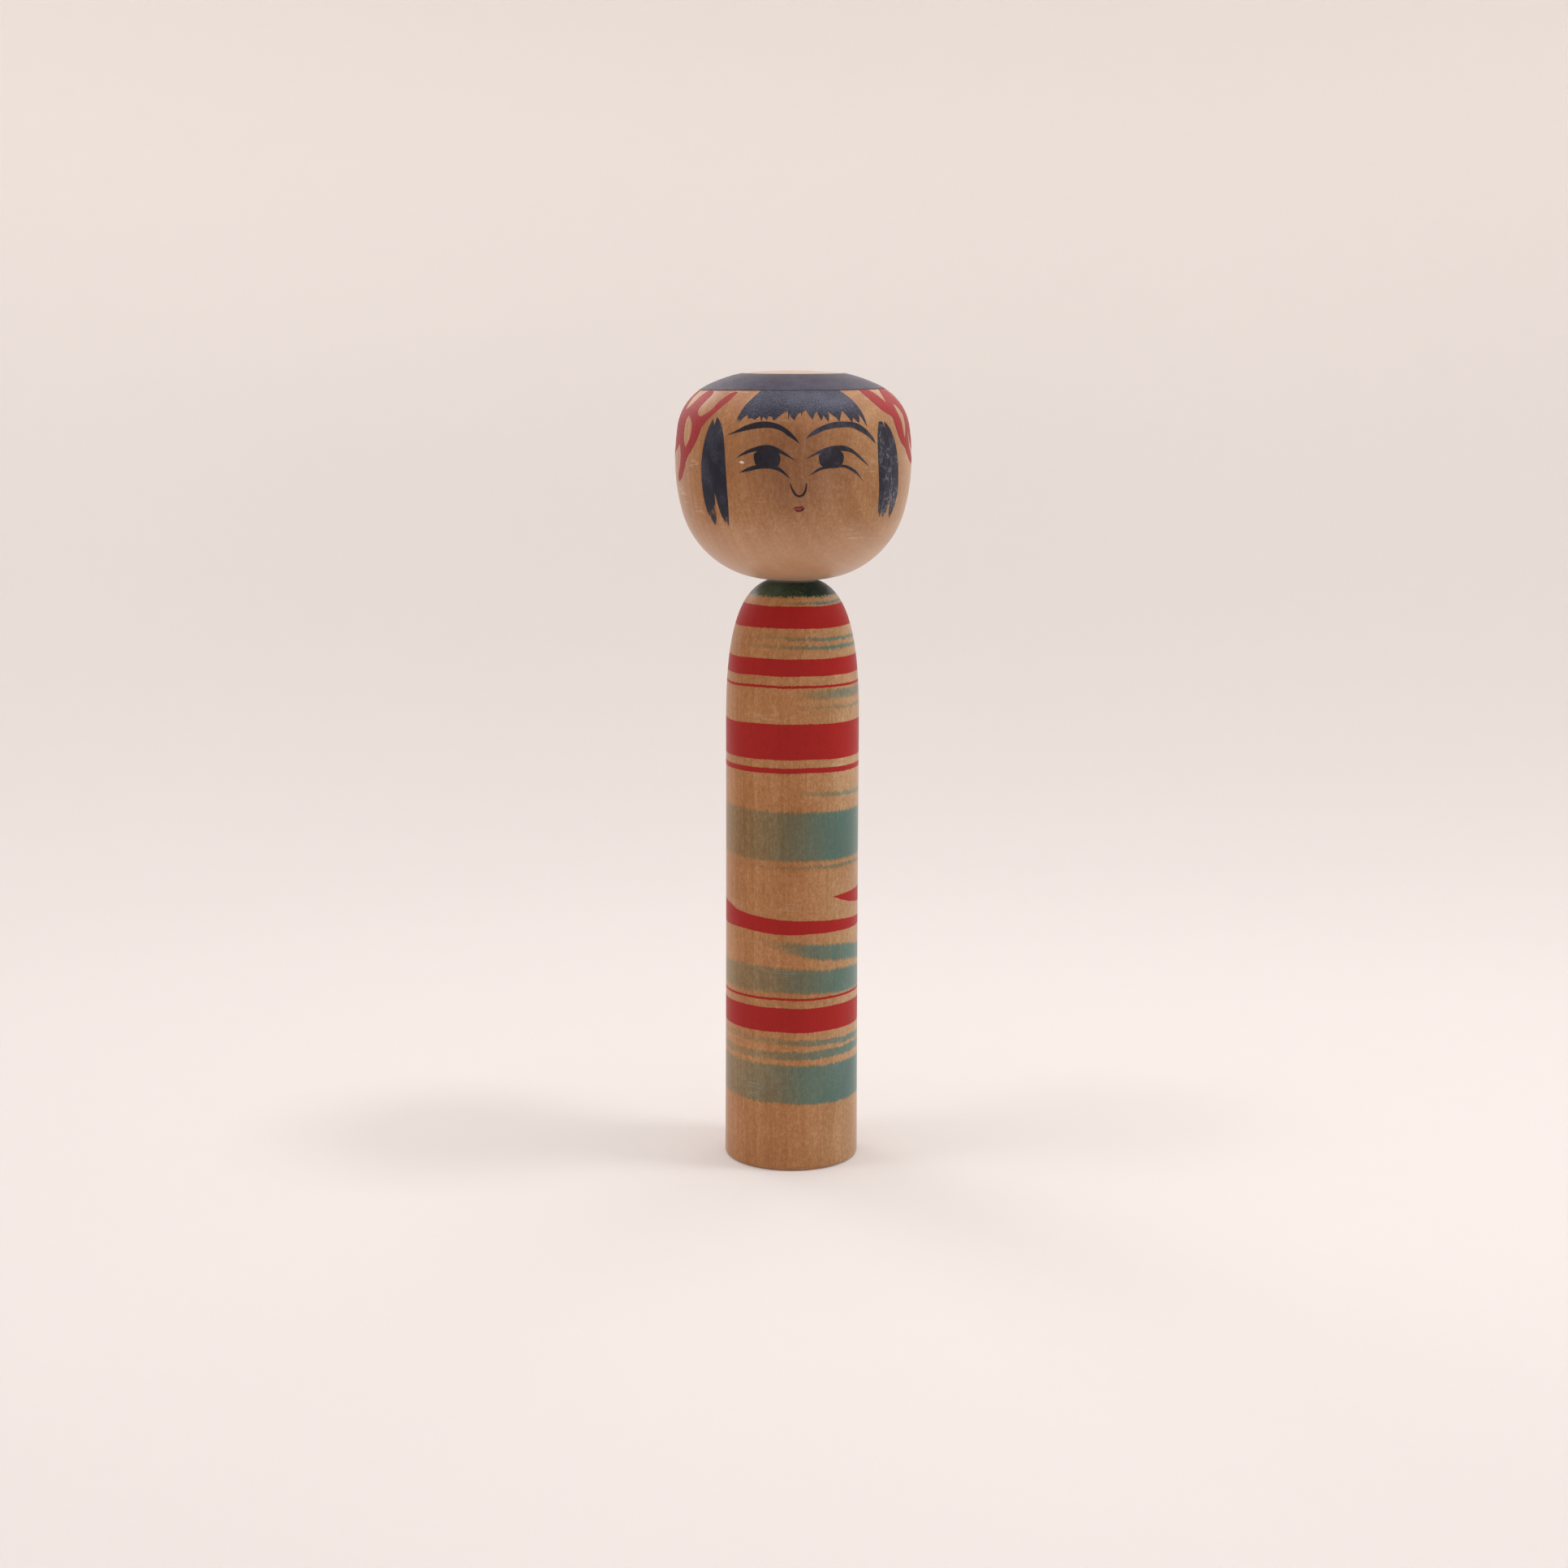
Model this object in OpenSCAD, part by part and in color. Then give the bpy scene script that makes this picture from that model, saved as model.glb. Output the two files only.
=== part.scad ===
// Turned wooden kokeshi doll: a pillar body with a rounded shoulder and a large round head.
// The head ends below in a plug with a raised ring, pressed into a socket in the body, where
// the ring snaps into a groove: the head turns without limit and doesn't come out.
// Millimetres, +Z up. The origin is the middle of the base. The face looks along -Y.

/* [Doll] */
// Overall height, from the base to the crown
doll_h = 240; // [225:1:255]

/* [Head] */
// Radius of the low dome on the crown
crown_r = 15.5; // [14:0.5:17]
// Rise of the crown dome at its middle
crown_rise = 0.9; // [0.4:0.1:1.2]
// Pitch of the outline where it leaves the crown dome, in degrees below level
crown_pitch = 12; // [10:1:16]
// Radius of the slope around the crown dome
slope_r = 42; // [38:1:50]
// Angle that the slope turns through
slope_turn = 15; // [12:1:17]
// Radius of the tight curve at the temples
temple_r = 16; // [14:0.5:18]
// Angle that the temple curve turns through
temple_turn = 55; // [50:1:58]
// Radius of the upper cheek, down to the widest place
upper_cheek_r = 70; // [60:1:80]
// Radius of the lower cheek, from the widest place
lower_cheek_r = 57; // [52:1:62]
// Angle that the lower cheek turns through
lower_cheek_turn = 15; // [12:1:17]
// Radius of the jaw
jaw_r = 27.5; // [26:0.5:29]
// Angle that the jaw turns through
jaw_turn = 66; // [64:1:68]
// Radius of the shallow curve under the chin
chin_r = 60; // [50:1:70]

/* [Body] */
// Radius at the base
base_r = 20.5; // [20.2:0.1:22]
// Radius where the side meets the shoulder
side_r = 20.1; // [19:0.1:20.2]
// Height where the side starts to turn in to the shoulder
shoulder_z = 130; // [115:1:140]
// Fullness of the shoulder: 2 gives an ellipse, more gives a squarer shoulder
shoulder_power = 3; // [2.5:0.1:3.4]
// Radius of the rounded edge around the base
foot_round = 1; // [0.5:0.1:2]
// Radius of the dimple that the lathe's centre leaves in the base
centre_mark_r = 1.5; // [1:0.1:2.5]

/* [Neck joint] */
// Gap between the top of the body and the lowest level of the head
seat_gap = 0.15; // [0.1:0.05:0.4]
// Radius of the plug under the head
plug_r = 6; // [5:0.5:6.5]
// Length of the plug below the top of the body
plug_l = 16; // [14:1:22]
// Radial play of the plug in its socket
plug_play = 0.05; // [0.02:0.01:0.1]
// How far the snap ring stands out from the plug
ring_rise = 0.5; // [0.3:0.1:0.8]
// Length of the snap ring along the plug, without its slopes
ring_l = 2; // [1:0.5:3]
// Depth of the snap ring's middle below the top of the body
ring_depth = 9; // [8:0.5:10]

/* [Hidden] */
$fn = 96;

// Largest angle between two points of an arc, in degrees
arc_step = 3;
// Angle that the upper cheek turns through, so that it ends upright at the widest place
upper_cheek_turn = 90 - crown_pitch - slope_turn - temple_turn;
// Angle that the chin turns through, so that it ends level at the plug
chin_turn = 90 - lower_cheek_turn - jaw_turn;

// The head's outline, from the crown dome down: [radius, turn] of arcs that meet smoothly
head_arcs = [
    [slope_r, slope_turn],
    [temple_r, temple_turn],
    [upper_cheek_r, upper_cheek_turn],
    [lower_cheek_r, lower_cheek_turn],
    [jaw_r, jaw_turn],
    [chin_r, chin_turn]
];

// The point that lies a turn further along an arc that starts at p with the given heading
function along(p, heading, r, turn) =
    p + r * [sin(heading + turn) - sin(heading), cos(heading + turn) - cos(heading)];

// The points of a chain of arcs, each starting where the last one ends, in its direction
function chain(p, heading, arcs, i = 0) =
    i == len(arcs) ? [p] :
    let (r = arcs[i][0], turn = arcs[i][1], n = ceil(turn / arc_step))
    concat(
        [for (k = [0 : n - 1]) along(p, heading, r, turn * k / n)],
        chain(along(p, heading, r, turn), heading + turn, arcs, i + 1)
    );

// The crown dome's outline, from its middle to its edge, as a shallow arc
dome_r = (crown_r * crown_r + crown_rise * crown_rise) / (2 * crown_rise);
dome_turn = asin(crown_r / dome_r);
dome_steps = 6;
crown_dome = [for (k = [0 : dome_steps - 1]) along([0, 0], 0, dome_r, dome_turn * k / dome_steps)];

// The head's outline with the crown at height 0
head_outline = concat(crown_dome, chain([crown_r, -crown_rise], crown_pitch, head_arcs));
head_h = -head_outline[len(head_outline) - 1][1];

// Heights of the body's top and of the head's lowest level
body_h = doll_h - head_h - seat_gap;
head_z = body_h + seat_gap;

// The shoulder follows |r / side_r|^p + |z / shoulder_h|^p = 1, and its tip is cut off level
tip_cut = 1;
shoulder_h = body_h + tip_cut - shoulder_z;
shoulder_end = asin((body_h - shoulder_z) / shoulder_h);
shoulder_steps = 28;

function shoulder_point(rise) =
    [side_r * pow(1 - pow(rise, shoulder_power), 1 / shoulder_power), shoulder_z + shoulder_h * rise];

// The side flares towards the base, slowly at first
side_steps = 12;

function side_point(z) =
    [side_r + (base_r - side_r) * pow(1 - z / shoulder_z, 2), z];

foot_points = [for (k = [0 : 5])
    [base_r - foot_round * (1 - sin(k * 18)), foot_round * (1 - cos(k * 18))]];
side_points = [for (k = [1 : side_steps])
    side_point(foot_round + (shoulder_z - foot_round) * k / side_steps)];
shoulder_points = [for (k = [1 : shoulder_steps])
    shoulder_point(sin(shoulder_end * k / shoulder_steps))];

// The snap ring has a long slope below, for pushing it in, and a short one above, to hold it
lead_slope = 3;
hold_slope = 1;
// Play of the ring along the groove, and of the plug's end above the socket's floor
end_play = 0.3;
ring_z = body_h - ring_depth;
plug_chamfer = 1;
// How far the plug's outline runs up inside the head, to join it
plug_root = 10;

// Outline of the plug, or of its socket with play added all round, from the tip up to height top
function plug_outline(top, play, play_z) = [
    [0, body_h - plug_l - play_z],
    [plug_r - plug_chamfer + play, body_h - plug_l - play_z],
    [plug_r + play, body_h - plug_l + plug_chamfer - play_z],
    [plug_r + play, ring_z - ring_l / 2 - lead_slope - play_z],
    [plug_r + ring_rise + play, ring_z - ring_l / 2 - play_z],
    [plug_r + ring_rise + play, ring_z + ring_l / 2 + play_z],
    [plug_r + play, ring_z + ring_l / 2 + hold_slope + play_z],
    [plug_r + play, top],
    [0, top]
];

// The pillar body, with the blind socket for the head's plug
module body() {
    // Cuts run past the surfaces that they open
    past = 1;
    color("burlywood")
    difference() {
        rotate_extrude()
            polygon(concat([[0, 0]], foot_points, side_points, shoulder_points, [[0, body_h]]));
        rotate_extrude()
            polygon(plug_outline(body_h + past, plug_play, end_play));
        cylinder(h = centre_mark_r, r1 = centre_mark_r, r2 = 0);
    }
}

// The head and its plug, turned from one block
module head() {
    color("wheat")
    union() {
        translate([0, 0, head_z + head_h])
            rotate_extrude()
                polygon(concat(head_outline, [[0, -head_h]]));
        rotate_extrude()
            polygon(plug_outline(head_z + plug_root, 0, 0));
    }
}

body();
head();
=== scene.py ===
"""Looks of the kokeshi doll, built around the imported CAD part.

Two turned wooden pieces, the body and the head, are rebuilt as fine lathe meshes on the
outlines of their CAD nodes. The body's painted bands are in its wood material, as dye that
soaks into the wood. The head's hair, face and red side ornaments are thin films of paint.
Lengths are millimetres, apart from those of the floor and the lights, which are metres. Angles
are degrees of azimuth round the doll, 0 at the middle of the face (the -Y side) and positive
towards +X.
"""

import math

import bpy
import numpy as np
from mathutils import Euler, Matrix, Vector
from mathutils.geometry import delaunay_2d_cdt


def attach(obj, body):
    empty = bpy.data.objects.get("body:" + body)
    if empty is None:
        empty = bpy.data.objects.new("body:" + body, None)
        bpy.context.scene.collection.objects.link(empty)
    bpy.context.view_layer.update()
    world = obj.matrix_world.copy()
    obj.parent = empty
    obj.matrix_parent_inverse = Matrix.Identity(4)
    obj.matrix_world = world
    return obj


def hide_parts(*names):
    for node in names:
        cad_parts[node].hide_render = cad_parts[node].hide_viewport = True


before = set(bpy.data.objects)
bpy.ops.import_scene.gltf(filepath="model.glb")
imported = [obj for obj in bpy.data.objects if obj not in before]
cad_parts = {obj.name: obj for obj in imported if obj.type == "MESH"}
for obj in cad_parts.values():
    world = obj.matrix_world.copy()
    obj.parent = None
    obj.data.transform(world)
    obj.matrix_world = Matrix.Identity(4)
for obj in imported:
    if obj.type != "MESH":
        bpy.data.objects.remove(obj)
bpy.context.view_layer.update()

MM = 0.001


def sine(turn):
    return math.sin(math.radians(turn))


def cosine(turn):
    return math.cos(math.radians(turn))


def round_point(turn, radius, height):
    """The point at this azimuth, distance from the doll's axis and height."""
    return radius * sine(turn), -radius * cosine(turn), height


# -------------------- sizes

# Faces round a turned piece, and the length of a face along its outline
SEGMENTS = 192
LATHE_STEP = 1.2
# A bend of the CAD outline sharper than this angle is a true corner
CORNER_TURN = 25.0
# A chord this many times as long as its neighbour is a straight line
STRAIGHT_RATIO = 6.0
# How far the head's wood lies inside the CAD surface, to leave room for the paint
WOOD_INSET = 0.07

# Top of the paint above the wood, and depth of its hidden underside below the wood
PAINT_RISE = 0.05
PAINT_SINK = 0.12
# Rise of the paint that lies over other paint
TOP_COAT_RISE = 0.06
# Spacing of a film's inner points, their least distance from its edge as a share of that, and
# the spacing of the points along its edge
PAINT_GRID = 1.3
EDGE_CLEARANCE = 0.45
PAINT_EDGE = 0.35
# The head's radius that azimuth is measured on when a film is laid out flat
FLAT_RADIUS = 32.0
# The head's painted side ends at this radius, outside the plug
PAINTED_TO_RADIUS = 12.0

# -------------------- outlines of the turned pieces


def meridian(node):
    """The outline of a turned CAD node as (radius, height) points, from its lowest point on the
    axis to its highest, read off the mesh where it crosses the half plane y = 0, x >= 0."""
    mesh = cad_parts[node].data
    on_plane = {}
    for v in mesh.vertices:
        x, y, z = v.co / MM
        if abs(y) < 1e-4 and x > -1e-4:
            on_plane[v.index] = (round(max(x, 0.0), 3), round(z, 3))
    near = {p: set() for p in on_plane.values()}
    for edge in mesh.edges:
        a, b = (on_plane.get(i) for i in edge.vertices)
        if a is not None and b is not None and a != b:
            near[a].add(b)
            near[b].add(a)
    ends = sorted((p for p in near if len(near[p]) == 1), key=lambda p: p[1])
    line = [ends[0]]
    seen = {ends[0]}
    while line[-1] != ends[-1]:
        ahead = [p for p in near[line[-1]] if p not in seen]
        step = min(ahead, key=lambda p: math.dist(p, line[-1]))
        line.append(step)
        seen.add(step)
    if line[0][0] > 0.0:
        line.insert(0, (0.0, line[0][1]))
    if line[-1][0] > 0.0:
        line.append((0.0, line[-1][1]))
    return line


def hermite(a, start, b, end, t):
    """The point at t, from 0 to 1, of the smooth curve from a to b with these directions at its ends."""
    return (
        (2 * t**3 - 3 * t**2 + 1) * a
        + (t**3 - 2 * t**2 + t) * start
        + (3 * t**2 - 2 * t**3) * b
        + (t**3 - t**2) * end
    )


def smooth_outline(line, step):
    """The outline resampled on smooth curves, with its true corners kept: (radius, height, corner)."""
    p = np.array(line, float)
    chord = np.diff(p, axis=0)
    length = np.linalg.norm(chord, axis=1)
    unit = chord / length[:, None]
    turn = np.degrees(np.arccos(np.clip((unit[1:] * unit[:-1]).sum(1), -1, 1)))
    corner = np.concatenate([[True], turn > CORNER_TURN, [True]])
    made = []

    def heading(i):
        """The outline's direction at point i, between chords i - 1 and i. A straight line keeps
        its own."""
        before, after = length[i - 1], length[i]
        if max(before, after) > STRAIGHT_RATIO * min(before, after):
            return unit[i - 1] if before > after else unit[i]
        blend = unit[i] * before + unit[i - 1] * after
        return blend / np.linalg.norm(blend)

    for i in range(len(chord)):
        start = (unit[i] if corner[i] else heading(i)) * length[i]
        end = (unit[i] if corner[i + 1] else heading(i + 1)) * length[i]
        parts = max(1, math.ceil(length[i] / step))
        for k in range(parts):
            point = hermite(p[i], start, p[i + 1], end, k / parts)
            made.append((max(point[0], 0.0), point[1], bool(corner[i]) and k == 0))
    made.append((p[-1][0], p[-1][1], True))
    return made


def new_object(name, verts, faces, material, sharp=()):
    """A mesh object in the scene, smooth but for its edges between the sharp pairs of vertices."""
    mesh = bpy.data.meshes.new(name)
    mesh.from_pydata(verts, [], faces)
    mesh.shade_smooth()
    wanted = {frozenset(pair) for pair in sharp}
    for edge in mesh.edges:
        if frozenset(edge.vertices) in wanted:
            edge.use_edge_sharp = True
    mesh.validate()
    mesh.materials.append(material)
    obj = bpy.data.objects.new(name, mesh)
    bpy.context.scene.collection.objects.link(obj)
    return obj


def inset(outline, amount):
    """The outline moved inwards along its normals, so that paint laid on it stays inside the
    CAD box."""
    p = np.array([(r, z) for r, z, _ in outline])
    along = np.gradient(p, axis=0)
    along /= np.linalg.norm(along, axis=1)[:, None]
    p += amount * np.stack([-along[:, 1], along[:, 0]], 1)
    p[[0, -1], 0] = 0.0
    return [(max(r, 0.0), z, corner) for (r, z), (_, _, corner) in zip(p, outline)]


def lathe(name, outline, material):
    """A closed turned piece: the outline swept round the Z axis."""
    angle = np.arange(SEGMENTS) * 2 * math.pi / SEGMENTS
    ring = np.stack([np.sin(angle), -np.cos(angle)], 1)
    verts = [(0.0, 0.0, outline[0][1])]
    for r, z, _ in outline[1:-1]:
        verts.extend((r * x, r * y, z) for x, y in ring)
    verts.append((0.0, 0.0, outline[-1][1]))
    rows = len(outline) - 2
    top = len(verts) - 1

    def at(row, k):
        return 1 + row * SEGMENTS + k % SEGMENTS

    faces = []
    for k in range(SEGMENTS):
        faces.append((0, at(0, k + 1), at(0, k)))
        faces.append((at(rows - 1, k), at(rows - 1, k + 1), top))
        for row in range(rows - 1):
            faces.append((at(row, k), at(row, k + 1), at(row + 1, k + 1), at(row + 1, k)))
    corners = [row for row in range(rows) if outline[row + 1][2]]
    sharp = [(at(row, k), at(row, k + 1)) for row in corners for k in range(SEGMENTS)]
    return new_object(name, [Vector(v) * MM for v in verts], faces, material, sharp)


# -------------------- node helpers


WHITE = (1.0, 1.0, 1.0, 1.0)
SHEEN_ROUGHNESS = 0.3


class Graph:
    """A material's nodes. Numbers and sockets are given alike as inputs."""

    def __init__(self, name):
        self.material = bpy.data.materials.new(name)
        self.material.use_nodes = True
        self.tree = self.material.node_tree
        self.tree.nodes.clear()

    def node(self, kind, inputs=(), **settings):
        """A new shader node, with its inputs fed and its settings made."""
        made = self.tree.nodes.new("ShaderNode" + kind)
        for key, value in settings.items():
            setattr(made, key, value)
        for key, value in dict(inputs).items():
            self.feed(made.inputs[key], value)
        return made

    def feed(self, socket, value):
        """Links a socket into another, or sets its own value."""
        if isinstance(value, bpy.types.NodeSocket):
            self.tree.links.new(value, socket)
        else:
            socket.default_value = value

    def math(self, operation, a, b=0.0, clamp=False):
        return self.node("Math", {0: a, 1: b}, operation=operation, use_clamp=clamp).outputs[0]

    def vector(self, operation, a, b):
        return self.node("VectorMath", {0: a, 1: b}, operation=operation).outputs[0]

    def times(self, a, b):
        return self.math("MULTIPLY", a, b)

    def minus(self, a, b):
        return self.math("SUBTRACT", a, b)

    def mix(self, share, a, b, blend="MIX"):
        return self.node("Mix", {0: share, 6: a, 7: b}, data_type="RGBA", blend_type=blend).outputs[2]

    def tinted(self, colour, tint):
        """A colour multiplied by a tint."""
        return self.mix(1.0, colour, tint, "MULTIPLY")

    def noise(self, place, stretch, detail=2.0, roughness=0.5):
        """Noise whose cells are 1 / stretch long on each axis."""
        where = self.vector("MULTIPLY", place, stretch)
        inputs = {"Vector": where, "Scale": 1.0, "Detail": detail, "Roughness": roughness}
        return self.node("TexNoise", inputs).outputs["Fac"]

    def ramp(self, value, low, high, to_low=0.0, to_high=1.0):
        """A smooth step from to_low, where value is low, to to_high, where it is high."""
        inputs = {0: value, 1: low, 2: high, 3: to_low, 4: to_high}
        return self.node("MapRange", inputs, interpolation_type="SMOOTHSTEP").outputs[0]

    def swing(self, value, amount):
        """A noise value as a change of up to about plus or minus half of amount."""
        return self.times(self.minus(value, 0.5), amount)

    def curve(self, value, points):
        """A smooth curve from 0..1 to 0..1 through a few points."""
        made = self.node("FloatCurve", {1: value})
        line = made.mapping.curves[0]
        line.points[0].location = points[0]
        line.points[1].location = points[-1]
        for x, y in points[1:-1]:
            line.points.new(x, y)
        made.mapping.update()
        return made.outputs[0]

    def sum(self, *values):
        """The sum of numbers and sockets, added in order."""
        made = values[0]
        for value in values[1:]:
            made = self.math("ADD", made, value)
        return made

    def colours(self, value, stops):
        """A blend through (position, colour) stops. The first and the last are the ends."""
        made = self.node("ValToRGB", {0: value})
        places = made.color_ramp.elements
        places[0].position, places[0].color = stops[0]
        places[1].position, places[1].color = stops[-1]
        for position, shade in stops[1:-1]:
            places.new(position).color = shade
        return made.outputs[0]

    def finish(self, colour, roughness, height, bump, sheen=0.0, gloss=0.5, tint=WHITE):
        """The finished material. bump is the relief's depth in millimetres."""
        normal = self.node("Bump", {"Height": height, "Strength": 1.0, "Distance": bump * MM})
        inputs = {
            "Base Color": colour,
            "Roughness": roughness,
            "Normal": normal.outputs[0],
            "IOR": 1.5,
            "Sheen Weight": sheen,
            "Sheen Roughness": SHEEN_ROUGHNESS,
            "Specular IOR Level": gloss,
            "Specular Tint": tint,
        }
        shader = self.node("BsdfPrincipled", inputs)
        out = self.node("OutputMaterial")
        self.tree.links.new(shader.outputs[0], out.inputs[0])
        return self.material


def srgb(*values):
    """A colour given as 0..255 display values, as a linear colour."""
    return tuple(((v / 255 + 0.055) / 1.055) ** 2.4 for v in values) + (1.0,)


# -------------------- wood

WOOD_PALE = srgb(194, 148, 105)
WOOD_MID = srgb(164, 112, 68)
WOOD_DARK = srgb(130, 80, 43)
# The colour of the painted light from the bright floor under the chin
UNDERSIDE_FLOOR_LIGHT = srgb(190, 150, 118)
# The crown's pale wood, with a painted highlight on it
CROWN_PALE_AND_HIGHLIGHT = srgb(196, 176, 158)
WOOD_SCRATCHED = srgb(222, 196, 168)
# A darker tint round a place in the middle of the face
FACE_DARKER_TINT = (0.80, 0.78, 0.84, 1.0)
FACE_DARKER_AT = (-1.0, -35.0, 214.0)
# Width of a growth ring, and the way from the tree's heart to the lathe axis
RING_GAP = 2.6
FROM_HEART = (90.0, -60.0, 0.0)
# Strength of the pale scratches
BODY_MARKS = 0.12
HEAD_MARKS = 0.28
BODY_GLOSS = 0.28
HEAD_GLOSS = 0.6
WAX_HAZE = 0.2
WOOD_RELIEF = 0.06
# Tint of the painted light that makes the wood paler on the side that faces the light, and the azimuth of
# that side
LIT_SIDE_TINT = (1.04, 1.32, 1.7, 1.0)
LIGHT_SIDE = 80.0


def wood(g, seed, marks):
    """Old waxed wood, its grain upright along the lathe axis. Gives the place in millimetres,
    the colour, the relief and the roughness."""
    place = g.vector("MULTIPLY", g.node("TexCoord").outputs["Object"], (1 / MM,) * 3)
    shifted = g.vector("ADD", place, (seed * 31.0, seed * 17.0, seed * 53.0))
    bend = g.noise(shifted, (0.02, 0.02, 0.006), 1.0)
    heart = g.vector("ADD", place, FROM_HEART)
    flat = g.vector("MULTIPLY", heart, (1.0, 1.0, 0.0))
    distance = g.node("VectorMath", {0: flat}, operation="LENGTH").outputs["Value"]
    year = g.math("DIVIDE", g.sum(distance, g.swing(bend, 12.0)), RING_GAP)
    lines = g.node("TexNoise", {"W": year, "Scale": 1.0, "Detail": 3.0}, noise_dimensions="1D")
    late = g.math("POWER", g.math("FRACT", year), 5.0)
    fibre = g.noise(shifted, (2.2, 2.2, 0.12), 3.0, 0.6)
    speck = g.noise(shifted, (3.2, 3.2, 1.6), 2.0, 0.6)
    mottle = g.noise(shifted, (1.0, 1.0, 0.7), 4.0, 0.65)
    blotch = g.noise(shifted, (0.06, 0.06, 0.03), 3.0, 0.5)
    line = lines.outputs["Fac"]
    tones = ((line, 0.25), (late, -0.04), (fibre, 0.32), (speck, 0.5), (mottle, 0.64), (blotch, 0.55))
    tone = g.sum(0.5, *(g.swing(value, amount) for value, amount in tones))
    shade = g.colours(tone, ((0.12, WOOD_DARK), (0.5, WOOD_MID), (0.88, WOOD_PALE)))
    turning = g.noise(shifted, (0.02, 0.02, 2.6), 2.0, 0.6)
    nick = g.math("ABSOLUTE", g.swing(g.noise(shifted, (0.05, 0.05, 0.8), 3.0, 0.6), 1.0))
    scuffed = g.ramp(g.noise(shifted, (0.08, 0.08, 0.16), 2.0), 0.60, 0.69)
    scratch = g.times(g.ramp(nick, 0.040, 0.010), scuffed)
    colour = g.mix(g.times(scratch, marks), shade, WOOD_SCRATCHED)
    grooves = ((speck, 0.6), (turning, 0.35), (fibre, 0.35))
    relief = g.sum(*(g.times(value, depth) for value, depth in grooves))
    rough = g.sum(0.38, g.swing(mottle, 0.25), g.swing(blotch, 0.16))
    return place, colour, relief, rough


def azimuth(g, place):
    """Azimuth in degrees, from -180 to 180, and height in millimetres."""
    split = g.node("SeparateXYZ", {0: place})
    front = g.times(split.outputs[1], -1.0)
    return g.math("DEGREES", g.math("ARCTAN2", split.outputs[0], front)), split.outputs[2]


def lit_side_paler(g, colour, turn, most):
    """Painted light: the wood paler on the side of the doll that faces the light."""
    away = g.math("RADIANS", g.minus(turn, LIGHT_SIDE))
    share = g.ramp(g.math("COSINE", away), 0.15, 0.95, 0.0, most)
    return g.mix(share, colour, g.tinted(colour, LIT_SIDE_TINT))


# -------------------- the body's painted bands

# lowest, highest
RED_BANDS = (
    (165.4, 171.7),
    (151.5, 156.6),
    (148.0, 148.8),
    (126.6, 137.3),
    (122.6, 124.2),
    (53.35, 54.1),
    (43.5, 51.0),
)
# lowest, highest, edge softness, drop towards +X, strength on the fresh side and on the faded side
GREEN_BANDS = (
    # The band at the neck: dark green paint, made darker still as painted shade under the head
    (174.3, 182.0, 0.35, 0.0, 2.2, 1.35),
    (172.2, 172.8, 0.2, 0.0, 1.3, -0.3),
    (162.1, 162.9, 0.25, 0.4, 0.9, 0.05),
    (159.5, 160.5, 0.3, 0.3, 0.9, 0.08),
    (144.6, 147.3, 0.6, 0.0, 0.55, -0.4),
    (141.6, 142.5, 0.3, 0.0, 0.35, -0.2),
    (115.9, 117.2, 0.3, 1.0, 0.5, -0.3),
    (96.2, 110.9, 0.6, 0.4, 1.05, 0.27),
    (93.7, 94.7, 0.3, 0.4, 0.5, 0.05),
    (39.5, 41.2, 0.3, 0.8, 0.8, 0.15),
    (35.1, 37.5, 0.3, -0.2, 0.9, 0.25),
    (21.2, 33.1, 0.5, 0.5, 1.15, 0.36),
)
RED_DYE = (0.86, 0.02, 0.06, 1.0)
RED_COAT = (0.33, 0.001, 0.002, 1.0)
# Tints of the wood by the strength of the green, halved, from none to the darkest. The darkest, which the
# band at the neck reaches, is its dark green paint and also painted shade under the head
GREEN_DYES_AND_NECK_SHADE = (
    (0.0, WHITE),
    (0.15, (0.62, 0.86, 1.0, 1.0)),
    (0.30, (0.42, 0.75, 0.98, 1.0)),
    (0.45, (0.26, 0.68, 0.95, 1.0)),
    (0.60, (0.16, 0.52, 0.80, 1.0)),
    (1.0, (0.02, 0.11, 0.18, 1.0)),
)
# The pale body of the green paint, which the dark band at the neck doesn't have
GREEN_COAT = srgb(90, 122, 122)
NECK_BAND_BOTTOM = 174.0
# The azimuth where the green has faded least
FRESH_SIDE = 92.0
# Softness of the red's edges, and of the green spirals'
RED_SOFT = 0.10
GREEN_SOFT = 0.7


class Spiral:
    """A stroke laid while the body turned: its two edges, each as (azimuth, height) points. The
    azimuth runs on past a full turn. The heights span a window from lowest up."""

    def __init__(self, lowest, span, top, bottom):
        self.first = top[0][0]
        self.turns = top[-1][0] - self.first
        self.lowest = lowest
        self.span = span
        self.top = [self.scaled(point) for point in top]
        self.bottom = [self.scaled(point) for point in bottom]

    def scaled(self, point):
        turn, height = point
        return (turn - self.first) / self.turns, (height - self.lowest) / self.span

    def share(self, g, turn, height, soft):
        """1 inside the stroke and 0 outside, with edges that soft."""
        along = g.math("DIVIDE", g.minus(turn, self.first), self.turns)
        inside = g.math("LESS_THAN", g.math("ABSOLUTE", g.minus(along, 0.5)), 0.5)
        level = g.math("DIVIDE", g.minus(height, self.lowest), self.span)
        edge = soft / self.span
        over = g.ramp(g.minus(level, g.curve(along, self.bottom)), -edge, edge)
        under = g.ramp(g.minus(g.curve(along, self.top), level), -edge, edge)
        return g.times(inside, g.times(over, under))


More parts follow.
